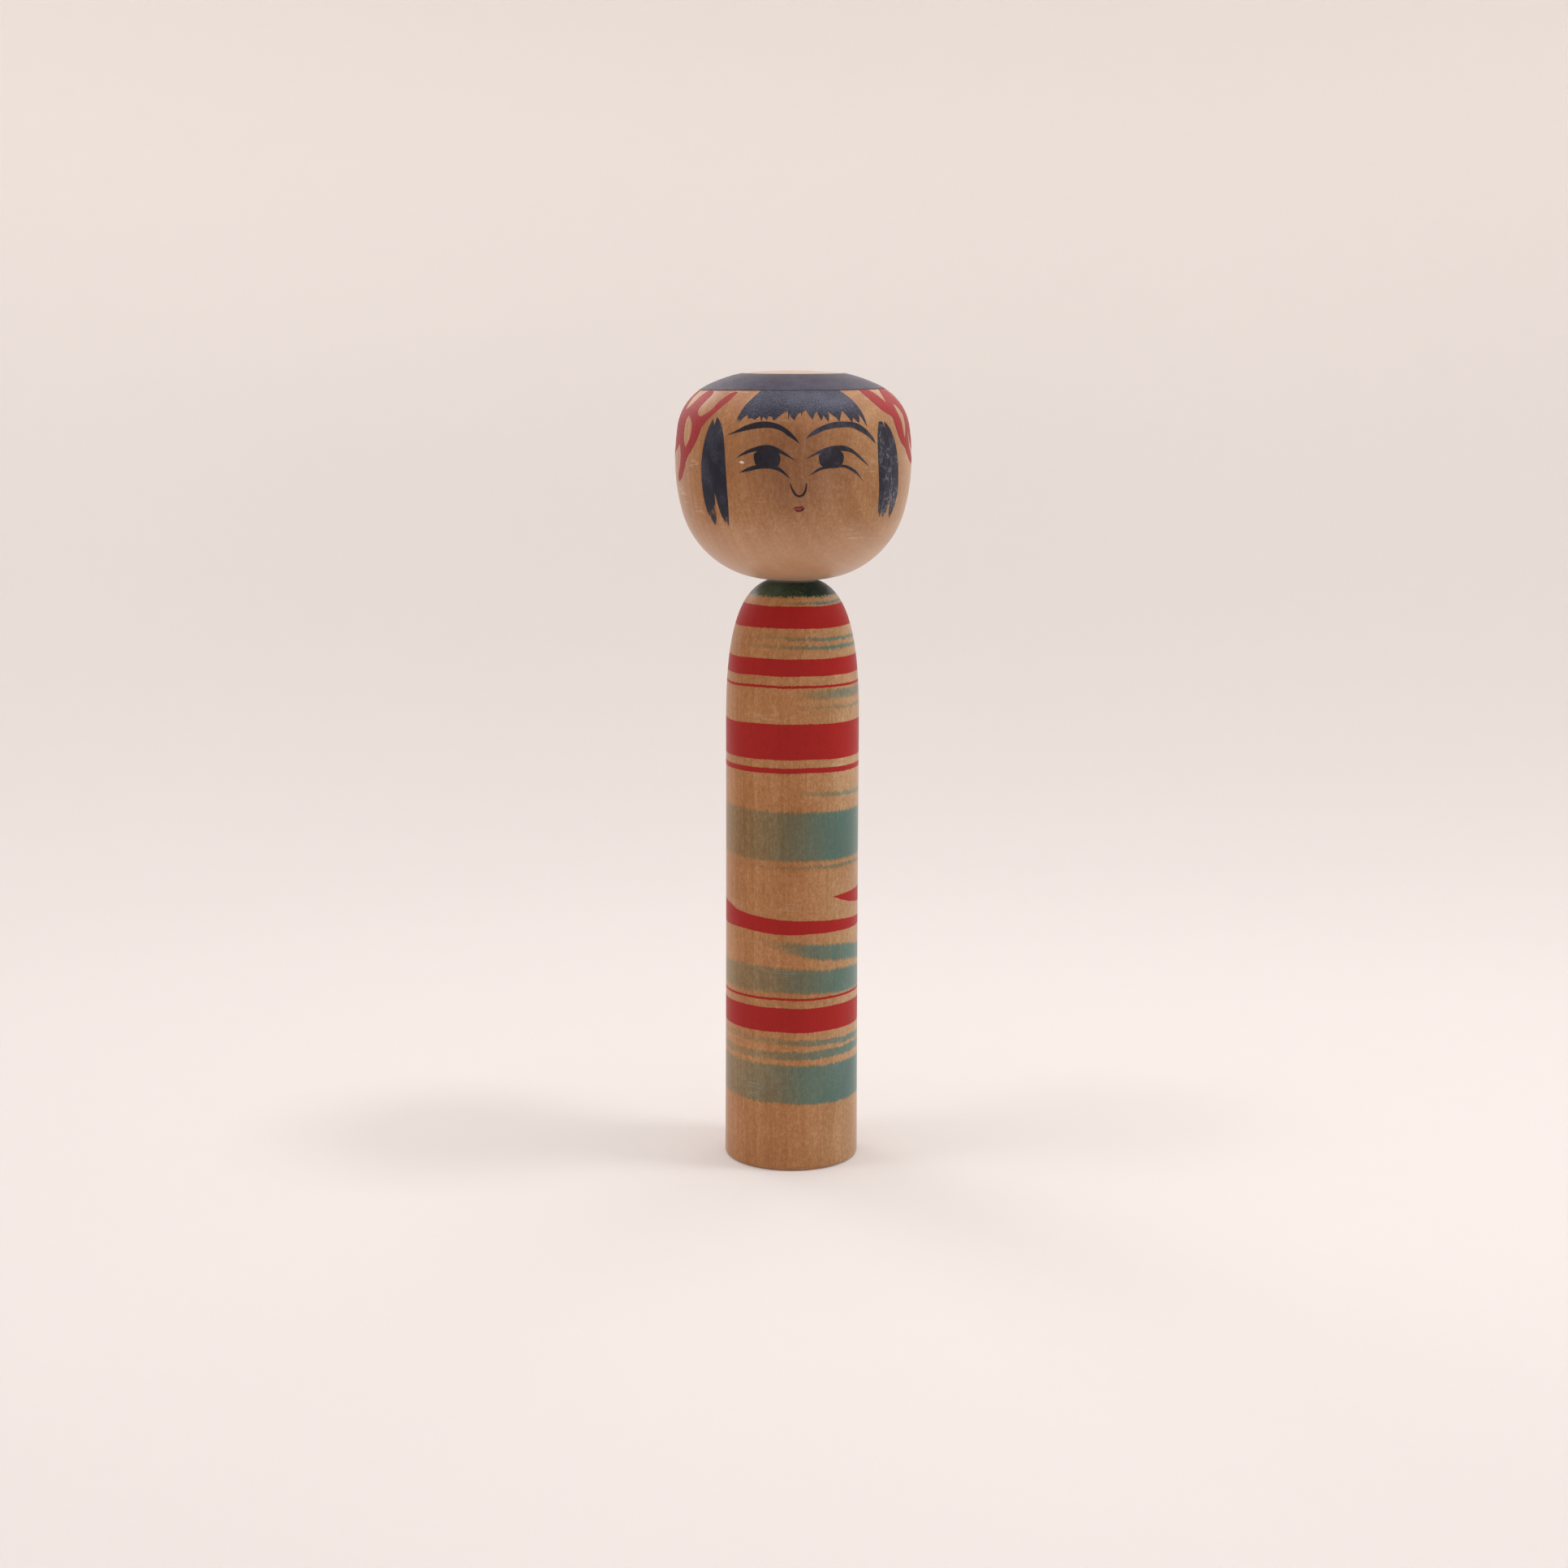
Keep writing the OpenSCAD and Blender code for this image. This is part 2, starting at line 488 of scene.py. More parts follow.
RED_SPIRAL = Spiral(
    70.0,
    20.0,
    [(34, 84.6), (71, 85.3), (150, 85.0), (230, 83.2), (278, 81.4), (294, 80.6), (300, 79.9),
     (318, 79.2), (346, 78.3), (375, 77.8), (435, 76.3), (494, 74.2)],
    [(34, 84.5), (71, 80.9), (150, 78.0), (230, 75.6), (278, 74.6), (316, 74.4), (346, 73.7),
     (375, 73.8), (435, 73.5), (494, 74.0)],
)
GREEN_SPIRAL = Spiral(
    50.0,
    25.0,
    [(-48, 71.8), (-18, 71.6), (9, 70.7), (41, 69.5), (72, 67.9), (170, 65.6), (279, 63.5),
     (323, 63.8), (355, 63.0), (433, 61.0), (492, 58.4)],
    [(-48, 71.6), (-30, 70.4), (-9, 68.4), (9, 66.7), (35, 65.1), (72, 63.4), (170, 59.0),
     (279, 55.8), (355, 55.8), (433, 54.7), (492, 57.8)],
)
# The green spiral's faint start ends at this azimuth
GREEN_TIP_END = 20.0


def band(g, height, low, high, soft):
    """1 between two heights and 0 outside, with edges that soft."""
    above = g.ramp(g.minus(height, low), -soft, soft)
    below = g.ramp(g.minus(high, height), -soft, soft)
    return g.times(above, below)


def strongest(g, shares):
    """The highest of several shares."""
    most = shares[0]
    for share in shares[1:]:
        most = g.math("MAXIMUM", most, share)
    return most


def laps(g, turn, start):
    """Azimuth brought to the first full turn from start, and to the one after it."""
    first = g.node("Math", {0: turn, 1: start + 360.0, 2: start}, operation="WRAP").outputs[0]
    return first, g.sum(first, 360.0)


def body_material():
    """Wood with the bands dyed into it."""
    g = Graph("painted_body_wood")
    place, colour, relief, rough = wood(g, 1.0, BODY_MARKS)
    turn, height = azimuth(g, place)
    # Painted light: the body paler on the side that faces the light
    colour = lit_side_paler(g, colour, turn, 1.0)
    bleed = g.noise(place, (1.8, 1.8, 0.3), 3.0, 0.7)
    wander = g.noise(place, (0.05, 0.05, 0.02), 1.0)
    level = g.sum(height, g.swing(wander, 1.2))
    ragged = g.sum(level, g.swing(bleed, 0.7))
    soaked = g.sum(level, g.swing(bleed, 3.0))
    side = g.math("SINE", g.math("RADIANS", turn))

    red = [band(g, ragged, low, high, RED_SOFT) for low, high in RED_BANDS]
    for lap in laps(g, turn, RED_SPIRAL.first):
        red.append(RED_SPIRAL.share(g, lap, ragged, RED_SOFT))
    red_share = strongest(g, red)

    fresh = g.math("COSINE", g.math("RADIANS", g.minus(turn, FRESH_SIDE)))
    fresh = g.sum(0.5, g.times(fresh, 0.5))
    wash = g.noise(place, (0.10, 0.10, 0.05), 3.0, 0.6)
    streak = g.noise(place, (0.9, 0.9, 0.05), 2.0, 0.6)
    speckle = g.noise(place, (2.2, 2.2, 1.6), 3.0, 0.7)
    green = []
    for low, high, soft, drop, strong, weak in GREEN_BANDS:
        tilted = g.sum(soaked, g.times(side, drop))
        share = g.ramp(fresh, 0.0, 1.0, weak, strong)
        green.append(g.times(band(g, tilted, low, high, soft), g.math("MAXIMUM", share, 0.0)))
    for lap in laps(g, turn, GREEN_SPIRAL.first):
        share = g.ramp(fresh, 0.0, 1.0, 0.30, 1.0)
        tip = g.ramp(lap, GREEN_SPIRAL.first, GREEN_TIP_END)
        stroke = GREEN_SPIRAL.share(g, lap, soaked, GREEN_SOFT)
        green.append(g.times(stroke, g.times(share, tip)))
    uneven = g.sum(1.0, g.swing(wash, 0.7), g.swing(streak, 0.35), g.swing(speckle, 0.9))
    green_share = g.times(strongest(g, green), uneven)

    dye = g.colours(g.times(green_share, 0.5), GREEN_DYES_AND_NECK_SHADE)
    dyed = g.tinted(colour, dye)
    teal = g.ramp(green_share, 0.25, 1.1, 0.0, 0.40)
    teal = g.times(teal, g.ramp(height, NECK_BAND_BOTTOM, NECK_BAND_BOTTOM - 1.0))
    colour = g.mix(teal, dyed, GREEN_COAT)
    coat = g.math("ADD", 0.75, g.swing(speckle, 0.5), clamp=True)
    red_wood = g.mix(coat, g.tinted(colour, RED_DYE), RED_COAT)
    colour = g.mix(g.times(red_share, 0.97), colour, red_wood)
    rough = g.sum(rough, g.times(red_share, 0.2))
    return g.finish(colour, rough, relief, WOOD_RELIEF, sheen=WAX_HAZE, gloss=BODY_GLOSS)


# -------------------- paint on the head

# The seed of the head's wood, which shows through its paint
HEAD_SEED = 2.0
INK_DYE = (0.10, 0.13, 0.25, 1.0)
INK = (0.020, 0.022, 0.034, 1.0)
RING_INK = (0.020, 0.019, 0.044, 1.0)
LINE_INK = (0.018, 0.016, 0.020, 1.0)
WORN_LINE_INK = (0.026, 0.024, 0.029, 1.0)
RIM_INK = (0.040, 0.012, 0.016, 1.0)
FADED_INK = (0.088, 0.089, 0.124, 1.0)
SCUFFED_INK = (0.30, 0.30, 0.33, 1.0)
KASE_DYE = (0.86, 0.08, 0.14, 1.0)
KASE_RED = (0.31, 0.017, 0.022, 1.0)
LIP_DYE = (0.85, 0.22, 0.26, 1.0)
LIP_RED = (0.32, 0.050, 0.045, 1.0)
LIP_LINE_DYE = (0.40, 0.08, 0.07, 1.0)
LIP_LINE_RED = (0.075, 0.006, 0.003, 1.0)
CROWN_LINE_DYE = (0.60, 0.10, 0.09, 1.0)
CROWN_LINE_RED = (0.17, 0.030, 0.022, 1.0)
CHIP_WHITE = (0.75, 0.68, 0.64, 1.0)
# Tints of the ink's gloss
COOL = (0.74, 0.77, 1.0, 1.0)
MAUVE = (0.83, 0.78, 1.0, 1.0)


def head_material():
    """Wood, darker round the middle of the face, paler under the chin as painted light from the floor,
    paler on the crown as its pale wood with a painted highlight, and paler as painted light on the side
    that faces the light.
    """
    g = Graph("head_wood_waxed")
    place, colour, relief, rough = wood(g, HEAD_SEED, HEAD_MARKS)
    turn, height = azimuth(g, place)
    # Painted light: the head paler on the side that faces the light
    colour = lit_side_paler(g, colour, turn, 0.65)
    # Painted light: paler under the chin, as the floor's light on it
    colour = g.mix(g.ramp(height, 202.0, 180.0, 0.0, 0.65), colour, UNDERSIDE_FLOOR_LIGHT)
    # Paler on the crown: its pale wood, with a painted highlight
    colour = g.mix(g.ramp(height, 237.6, 238.8, 0.0, 0.7), colour, CROWN_PALE_AND_HIGHLIGHT)
    away = g.node("VectorMath", {0: place, 1: FACE_DARKER_AT}, operation="DISTANCE").outputs["Value"]
    colour = g.mix(g.ramp(away, 22.0, 5.0), colour, g.tinted(colour, FACE_DARKER_TINT))
    return g.finish(colour, rough, relief, WOOD_RELIEF, sheen=WAX_HAZE, gloss=HEAD_GLOSS)


INK_RELIEF = 0.15
# Noise above this level is a worn spot, and a dry brush lowers the level by this much
WORN_ABOVE = 0.72
DRY_WEAR = 0.20
# How far the brush ran along and across its way, as noise scales
BRUSHED_UP = (1.6, 1.6, 0.12)
BRUSHED_ROUND = (0.10, 0.10, 1.8)


def paint_material(
    name, dye, body, cover, wear=0.0, roughness=0.45, gloss=0.5, tint=WHITE, strokes=BRUSHED_UP,
    fade=0.0, scuff=0.0,
):
    """Paint over the head's wood. dye multiplies the wood's colour, and body is the paint's own colour,
    which lies on it by the share cover. Worn spots show the wood, fade greys the paint in patches, and
    scuff draws fine pale creases in it."""
    g = Graph(name)
    place, colour, _, _ = wood(g, HEAD_SEED, HEAD_MARKS)
    brush = g.noise(place, strokes, 3.0, 0.6)
    patches = g.noise(place, (0.45, 0.45, 0.3), 4.0, 0.65)
    fleck = g.noise(place, (2.6, 2.6, 2.2), 3.0, 0.65)
    cloud = g.noise(place, (0.14, 0.14, 0.10), 3.0, 0.65)
    crease = g.math("ABSOLUTE", g.swing(g.noise(place, (0.34, 0.34, 0.20), 4.0, 0.7), 1.0))
    dry = g.node("Attribute", attribute_name="dry").outputs["Fac"]
    loss = g.sum(g.times(patches, 0.5), g.times(brush, 0.5))
    limit = g.minus(WORN_ABOVE - wear, g.times(dry, DRY_WEAR))
    worn = g.times(g.ramp(g.minus(loss, limit), -0.03, 0.05), 0.75)
    stained = g.tinted(colour, dye)
    thick = g.math("ADD", cover, g.swing(fleck, 0.30), clamp=True)
    coat = g.mix(thick, stained, body)
    if fade:
        greyed = g.sum(cloud, g.swing(fleck, 0.5), g.swing(brush, 0.25))
        coat = g.mix(g.ramp(greyed, 0.42, 0.64, 0.0, fade), coat, FADED_INK)
    if scuff:
        mark = g.times(g.ramp(crease, 0.022, 0.004), g.ramp(cloud, 0.42, 0.56))
        coat = g.mix(g.times(mark, scuff), coat, SCUFFED_INK)
    shown = g.mix(worn, coat, colour)
    rough = g.sum(roughness, g.swing(fleck, 0.45))
    height = g.sum(fleck, g.times(brush, 0.5))
    return g.finish(shown, rough, height, INK_RELIEF, gloss=gloss, tint=tint)


def ink(name, body, cover, tint=COOL, **settings):
    """Black brush ink."""
    return paint_material(name, INK_DYE, body, cover, tint=tint, **settings)


class HeadSurface:
    """The head's painted side: points on it by azimuth and height or by azimuth and the length
    along the outline from the crown."""

    def __init__(self, outline):
        shown = [(r, z) for r, z, _ in reversed(outline)]
        widest = max(range(len(shown)), key=lambda i: shown[i][0])
        last = widest
        while shown[last + 1][0] > PAINTED_TO_RADIUS:
            last += 1
        p = np.array(shown[: last + 1])
        self.s = np.concatenate([[0.0], np.cumsum(np.linalg.norm(np.diff(p, axis=0), axis=1))])
        self.r, self.z = p[:, 0], p[:, 1]
        slope = np.stack([np.gradient(self.r, self.s), np.gradient(self.z, self.s)], 1)
        slope /= np.linalg.norm(slope, axis=1)[:, None]
        self.nr, self.nz = -slope[:, 1], slope[:, 0]

    def length_at(self, height):
        """The length from the crown at a height."""
        return float(np.interp(-height, -self.z, self.s))

    def length_at_radius(self, radius):
        """The length from the crown at a radius, above the widest place."""
        upto = int(np.argmax(self.r))
        return float(np.interp(radius, self.r[: upto + 1], self.s[: upto + 1]))

    def point(self, turn, s, rise):
        """The point at an azimuth and a length from the crown, raised off the surface."""
        r = np.interp(s, self.s, self.r) + rise * np.interp(s, self.s, self.nr)
        z = np.interp(s, self.s, self.z) + rise * np.interp(s, self.s, self.nz)
        return Vector(round_point(turn, r, z)) * MM


def closed_curve(points, step):
    """A closed outline through (x, y, corner) points: smooth, but sharp at corners."""
    n = len(points)
    p = np.array([q[:2] for q in points], float)
    sharp = [len(q) > 2 and bool(q[2]) for q in points]
    made = []
    for i in range(n):
        a, b = p[i], p[(i + 1) % n]
        chord = b - a
        before, after = p[i - 1], p[(i + 2) % n]
        size = np.linalg.norm(chord)
        start = chord if sharp[i] else (b - before) * size / (np.linalg.norm(a - before) + size)
        end = chord if sharp[(i + 1) % n] else (after - a) * size / (np.linalg.norm(after - b) + size)
        parts = max(1, math.ceil(size / step))
        for k in range(parts):
            made.append(tuple(hermite(a, start, b, end, k / parts)))
    return made


def inside(point, outline):
    """Whether a flat point is inside a closed outline."""
    x, y = point
    odd = False
    for (x0, y0), (x1, y1) in zip(outline, outline[1:] + outline[:1]):
        if (y0 > y) != (y1 > y) and x < (x1 - x0) * (y - y0) / (y1 - y0) + x0:
            odd = not odd
    return odd


def flat_outline(surface, points):
    """A stroke's outline laid out flat, with x round the head and y down it, as a closed curve."""
    placed = []
    for turn, height, *corner in points:
        placed.append((math.radians(turn) * FLAT_RADIUS, surface.length_at(height), *corner))
    return closed_curve(placed, PAINT_EDGE)


def inner_points(shapes, gaps):
    """A staggered grid of points inside the shapes and outside the gaps, clear of their edges."""
    border = [q for outline in shapes + gaps for q in outline]
    low = [min(q[i] for q in border) for i in (0, 1)]
    high = [max(q[i] for q in border) for i in (0, 1)]
    found = []
    for i in range(int((high[0] - low[0]) / PAINT_GRID) + 1):
        for k in range(int((high[1] - low[1]) / PAINT_GRID) + 1):
            q = (low[0] + (i + 0.5 * (k % 2)) * PAINT_GRID, low[1] + k * PAINT_GRID)
            covered = any(inside(q, s) for s in shapes) and not any(inside(q, h) for h in gaps)
            if covered and min(math.dist(q, b) for b in border) > EDGE_CLEARANCE * PAINT_GRID:
                found.append(q)
    return found


def triangulate(shapes, gaps):
    """The shapes, less the gaps, as flat points and triangles of them."""
    flat, faces, edges = [], [], []
    for shape in shapes:
        faces.append(list(range(len(flat), len(flat) + len(shape))))
        flat.extend(shape)
    for gap in gaps:
        first = len(flat)
        edges.extend((first + k, first + (k + 1) % len(gap)) for k in range(len(gap)))
        flat.extend(gap)
    flat.extend(inner_points(shapes, gaps))
    points, _, triangles, _, _, _ = delaunay_2d_cdt([Vector(q) for q in flat], edges, faces, 1, 1e-5)
    kept = []
    for tri in triangles:
        centre = sum((points[i] for i in tri), Vector((0, 0))) / len(tri)
        if not any(inside(centre, gap) for gap in gaps):
            kept.append(tri)
    used = sorted({i for tri in kept for i in tri})
    index = {old: new for new, old in enumerate(used)}
    return [points[i] for i in used], [tuple(index[i] for i in tri) for tri in kept]


def open_sides(faces):
    """The edges that only one face has, in that face's direction."""
    found = set()
    for face in faces:
        for side in zip(face, face[1:] + face[:1]):
            if side[::-1] in found:
                found.remove(side[::-1])
            else:
                found.add(side)
    return sorted(found)


def film(name, surface, outlines, material, holes=(), rise=PAINT_RISE, dry=None):
    """A closed film of paint that covers the outlines, less the holes. Outlines are lists of
    (azimuth, height) points, with a third item 1 at a sharp corner. dry gives how dry the brush
    was at an azimuth and a height."""
    shapes = [flat_outline(surface, points) for points in outlines]
    gaps = [flat_outline(surface, points) for points in holes]
    flat, triangles = triangulate(shapes, gaps)
    count = len(flat)
    turns = [math.degrees(q.x / FLAT_RADIUS) for q in flat]
    lengths = [q.y for q in flat]
    verts = [surface.point(a, s, rise - WOOD_INSET) for a, s in zip(turns, lengths)]
    verts += [surface.point(a, s, -PAINT_SINK - WOOD_INSET) for a, s in zip(turns, lengths)]
    tops = [tuple(reversed(tri)) for tri in triangles]
    sides = open_sides(tops)
    faces = tops + [tuple(i + count for i in reversed(tri)) for tri in tops]
    faces += [(b, a, a + count, b + count) for a, b in sides]
    sharp = sides + [(a + count, b + count) for a, b in sides]
    obj = new_object(name, verts, faces, material, sharp)
    heights = np.interp(lengths, surface.s, surface.z)
    dryness = [dry(a, z) if dry else 0.0 for a, z in zip(turns, heights)]
    value = obj.data.attributes.new("dry", "FLOAT", "POINT")
    value.data.foreach_set("value", np.array(dryness + dryness, np.float32))
    return obj


def ring_film(name, surface, inner, outer, material, rise, rows=1):
    """A film all round the head between two lengths along its outline, each a function of azimuth."""
    verts = []
    for lift in (rise, -PAINT_SINK):
        for row in range(rows + 1):
            for k in range(SEGMENTS):
                turn = 360.0 * k / SEGMENTS
                share = row / rows
                s = inner(turn) * (1 - share) + outer(turn) * share
                verts.append(surface.point(turn, s, lift - WOOD_INSET))
    layer = (rows + 1) * SEGMENTS

    def at(row, k):
        return row * SEGMENTS + k % SEGMENTS

    faces = []
    for k in range(SEGMENTS):
        for row in range(rows):
            top = (at(row, k), at(row + 1, k), at(row + 1, k + 1), at(row, k + 1))
            faces.append(top)
            faces.append(tuple(i + layer for i in reversed(top)))
        for row, flip in ((0, False), (rows, True)):
            a, b = at(row, k), at(row, k + 1)
            wall = (a, b, b + layer, a + layer)
            faces.append(tuple(reversed(wall)) if flip else wall)
    rim = [(at(row, k), at(row, k + 1)) for row in (0, rows) for k in range(SEGMENTS)]
    sharp = rim + [(a + layer, b + layer) for a, b in rim]
    obj = new_object(name, verts, faces, material, sharp)
    obj.data.attributes.new("dry", "FLOAT", "POINT")
    return obj


def between(upper, lower):
    """A crescent: two edges that meet in sharp tips, given from the same end to the other."""
    first, last = upper[0] + (1,), upper[-1] + (1,)
    return [first] + list(upper[1:-1]) + [last] + list(reversed(lower[1:-1]))


# -------------------- the strokes on the head
# Outlines as (azimuth, height), with a third item 1 at a sharp corner

BANGS = [
    (-21.6, 235.4, 1), (-25, 233.6), (-27.2, 232.1), (-29.3, 230.6), (-30.7, 229), (-31.9, 227.4),
    (-32.3, 225.8, 1), (-31.4, 226.7, 1), (-30.9, 225.6, 1), (-29, 226.9), (-27.1, 227.7, 1),
    (-26.4, 226.6, 1), (-24.7, 226.9, 1), (-23.2, 226.3, 1), (-20.4, 227.5, 1), (-19.5, 225.8, 1),
    (-18.9, 227.3, 1), (-16.8, 226.4, 1), (-16.3, 227.4, 1), (-14.5, 227.2, 1), (-13.6, 226.2, 1),
    (-11.2, 227.3), (-9.5, 228.1), (-7.8, 228.7), (-6.7, 228.9, 1), (-6.4, 226.1, 1), (-5.8, 228.2, 1),
    (-5.1, 227.2), (-3.5, 226.3, 1), (-1.8, 228), (-0.4, 228.5, 1), (0, 227.3, 1), (0.4, 228.5, 1),
    (2.4, 229.1, 1), (3.4, 227.9), (5.3, 226.4, 1), (6.4, 228), (7.6, 228.8, 1), (8.4, 227.6),
    (9.8, 226.2, 1), (10.8, 227.8, 1), (13, 225.8, 1), (13.6, 227.4), (13.3, 228.8, 1), (14.8, 228),
    (17.2, 227), (18.6, 225.9, 1), (20.1, 227.8), (21, 228.9, 1), (23, 227.6), (25.5, 225.6, 1),
    (26.4, 227.1, 1), (29.2, 225.4, 1), (30, 226.8), (29.7, 228.1, 1), (31.5, 226.8), (33.8, 224.3, 1),
    (33.4, 226.1), (32.6, 228.2), (30.9, 230.5), (28.6, 232.3), (25.8, 233.9), (22.9, 235.3, 1),
]
LOCK_LEFT = [
    (-46.8, 226.4, 1), (-45.2, 224.4, 1), (-44.7, 227, 1), (-42.5, 226), (-40.5, 224.2), (-39.2, 222),
    (-38, 217.5), (-37.2, 211.5), (-37.1, 206), (-37.3, 201.5), (-38.8, 195.6, 1), (-41.8, 198.3),
    (-43.2, 201), (-44.8, 205.6, 1), (-45.6, 201), (-46.4, 197.6), (-48.2, 196, 1), (-50, 198),
    (-51.8, 200), (-52.8, 203.5), (-53, 209), (-52.8, 214), (-51.3, 219.5), (-49.3, 223.4),
]
LOCK_RIGHT = [
    (42, 225.7, 1), (44.6, 225.6), (46.2, 223.4, 1), (46, 225.8, 1), (48.6, 224.6), (51.4, 222.5),
    (54, 219), (55.8, 214.5), (56.6, 210), (57.6, 206.5), (57.3, 202.5), (55.8, 199.6),
    (54, 197.9, 1), (52.2, 200.2), (51.1, 206.6, 1), (50.3, 201), (47.6, 198.2, 1), (46, 200, 1),
    (44.8, 198.4, 1), (42.6, 201.6), (41.4, 207.3), (40.4, 212), (39.8, 217.5), (40.4, 222.6),
]
BROW_LEFT = between(
    [(-37.2, 222), (-32.5, 223.2), (-27, 224.8), (-22, 225.7), (-16.5, 225.9), (-11, 225.2),
     (-6.5, 223.6), (-2.8, 221.4), (-0.8, 219.6)],
    [(-37.2, 222), (-31, 222.8), (-26, 223.5), (-19.5, 224.1), (-14, 224.1), (-10, 223.4),
     (-6, 221.8), (-2.5, 220.4), (-0.8, 219.6)],
)
BROW_RIGHT = between(
    [(1.8, 221.2), (5, 223.2), (10, 224.8), (15, 225.7), (23, 225.9), (28.5, 225.3), (33, 223.7),
     (37, 221.3), (38.8, 219.5)],
    [(1.8, 221.2), (6.5, 222.4), (11.5, 223.6), (17.5, 224.2), (24.5, 224.2), (29, 223.2), (33.5, 221.8),
     (36.8, 220.3), (38.8, 219.5)],
)
LID_LEFT = between(
    [(-31.9, 215.5), (-26.5, 217.7), (-20, 219.1), (-15.5, 219.4), (-12, 218.8), (-8, 217.4),
     (-2.5, 214.9)],
    [(-31.9, 215.5), (-25.5, 217), (-21.5, 217.6), (-16.5, 217.8), (-11, 217.2), (-7.5, 216.4),
     (-2.5, 214.9)],
)
LOWER_LEFT = between(
    [(-30.2, 211.4), (-25.5, 213), (-21.5, 213.7), (-16.5, 213.8), (-11, 213.3), (-8.5, 212.2),
     (-5, 209.9)],
    [(-30.2, 211.4), (-23.5, 212.2), (-20, 212.7), (-15, 212.8), (-11.5, 212.3), (-9, 211.5),
     (-5, 209.9)],
)
IRIS_LEFT = [
    (-22.3, 217), (-22.5, 215.4), (-21.2, 213.6), (-16.5, 212.9), (-11.4, 213.4), (-9.9, 215.5),
    (-11, 217.3), (-16.5, 218.8),
]
LID_RIGHT = between(
    [(1.6, 215.4), (6.5, 217.4), (11.5, 218.7), (16, 219.2), (21, 219.1), (25, 218), (29.5, 215.9),
     (34.5, 213)],
    [(1.6, 215.4), (8, 217), (13, 217.7), (19.5, 217.7), (24, 217.2), (27.5, 215.9), (30.5, 214.6),
     (34.5, 213)],
)
LOWER_RIGHT = between(
    [(3, 210.7), (7.5, 212.8), (10.5, 213.4), (16, 213.8), (20.5, 213.8), (24.5, 212.9), (27.2, 211.8),
     (31, 208.9)],
    [(3, 210.7), (9, 212.4), (14.5, 213), (20, 213.1), (24, 212.1), (27.3, 210.9), (31, 208.9)],
)
IRIS_RIGHT = [
    (8.4, 216.8), (8, 215.2), (9.5, 213.4), (14, 212.9), (18.2, 213.3), (20.1, 215.3), (19.5, 217.2),
    (14.5, 218.8),
]
NOSE = [
    (-5.7, 208.7, 1), (-4.8, 206.9), (-3.4, 205.4), (-1.3, 204.75), (0.9, 205.2), (2.2, 206.6),
    (2.5, 208.7, 1), (2, 208.7, 1), (1.4, 206.9), (0.4, 205.7), (-1.2, 205.3), (-2.7, 205.8),
    (-4.1, 207.1), (-5.3, 208.7, 1),
]
MOUTH = [
    (-3.9, 201.5, 1), (-2.9, 201.9), (-0.5, 201.9), (0.3, 202.2), (1.5, 201.5, 1), (0.8, 201),
    (-0.3, 200.7), (-2, 200.7), (-3.2, 201.05),
]
MOUTH_UPPER = between(
    [(-3.9, 201.5), (-2.9, 202), (-0.6, 202), (0.3, 202.3), (0.9, 202.1)],
    [(-3.9, 201.5), (-2.9, 201.7), (-0.6, 201.7), (0.1, 201.8), (0.9, 202.1)],
)
MOUTH_LOWER = between(
    [(-3.6, 201.4), (-2.4, 201.1), (-0.3, 201.1), (0.2, 201.7), (1.7, 201.6)],
    [(-3.6, 201.4), (-2.4, 200.65), (-0.3, 200.6), (0.9, 201), (1.7, 201.6)],
)
KASE_LEFT = [
    (-65.5, 234.1), (-68.5, 232.9), (-71, 230.9), (-74, 229.5), (-78, 228.4, 1), (-79.5, 231),
    (-80.5, 234, 1), (-88, 234.2, 1), (-88, 230), (-87, 226), (-86, 222), (-87, 218.5),
    (-91, 214.5, 1), (-85.5, 216.2), (-80.5, 217.3), (-76.2, 219, 1), (-74.5, 217.4), (-73.8, 215.6),
    (-74.3, 213.4), (-76, 211.4), (-79, 209.4), (-78.2, 208), (-75.5, 208.2), (-72, 209.6),
    (-69.2, 211.6), (-67, 213.8), (-64.8, 215.5), (-61.6, 217.1), (-58.3, 219.4), (-55.6, 222.1),
    (-54, 224.1), (-49.5, 226.8), (-46, 228.6), (-43, 230.4), (-40.4, 231.9), (-38.2, 234, 1),
    (-41.3, 233.9), (-43.8, 233.2), (-47.7, 230.9), (-50, 229.1), (-53.5, 227.7), (-57.2, 227),
    (-60, 227.7), (-61.2, 229.2), (-60, 230.6), (-58.3, 231.9), (-57.8, 233.2), (-59.5, 234.1),
]
KASE_LEFT_GAP = [
    (-69.8, 227.2, 1), (-66, 226.2), (-63, 224.5), (-62.8, 222.4), (-64.2, 220.2), (-67.5, 218, 1),
    (-69.6, 219.2), (-70.9, 221.5), (-71.1, 223.6), (-70.8, 225.6),
]
KASE_RIGHT = [
    (39, 234.9, 1), (43.5, 235), (47.3, 234.7), (50, 234), (52.5, 232.5), (55.1, 230.8, 1),
    (56.8, 232.7), (59.8, 234.2), (64, 235.3, 1), (75, 235.3, 1), (76.2, 232.8), (78.4, 230.6),
    (82, 229, 1), (83.6, 231.4), (84.6, 235.3, 1), (92.5, 235.3, 1), (92.6, 230.8), (91.6, 226.6),
    (90.4, 222.6), (91.2, 218.8), (95, 214.6, 1), (89.5, 216.4), (84, 217.3), (79, 217.7),
    (74.5, 219.3), (72.2, 223.8, 1), (71.2, 221.2), (72, 218.6), (75.5, 216.2), (81, 214.4),
    (80.5, 213.2), (76, 213.2), (71, 214.4), (67.5, 216), (64.5, 217.9), (60.7, 219.2), (58.6, 220.6),
    (56.9, 222.3), (55.4, 224.4), (54.2, 226.9), (50.7, 227.9), (47.9, 228.7), (45.4, 229.9), (43, 231.3),
    (41, 232.8), (39.8, 234),
]
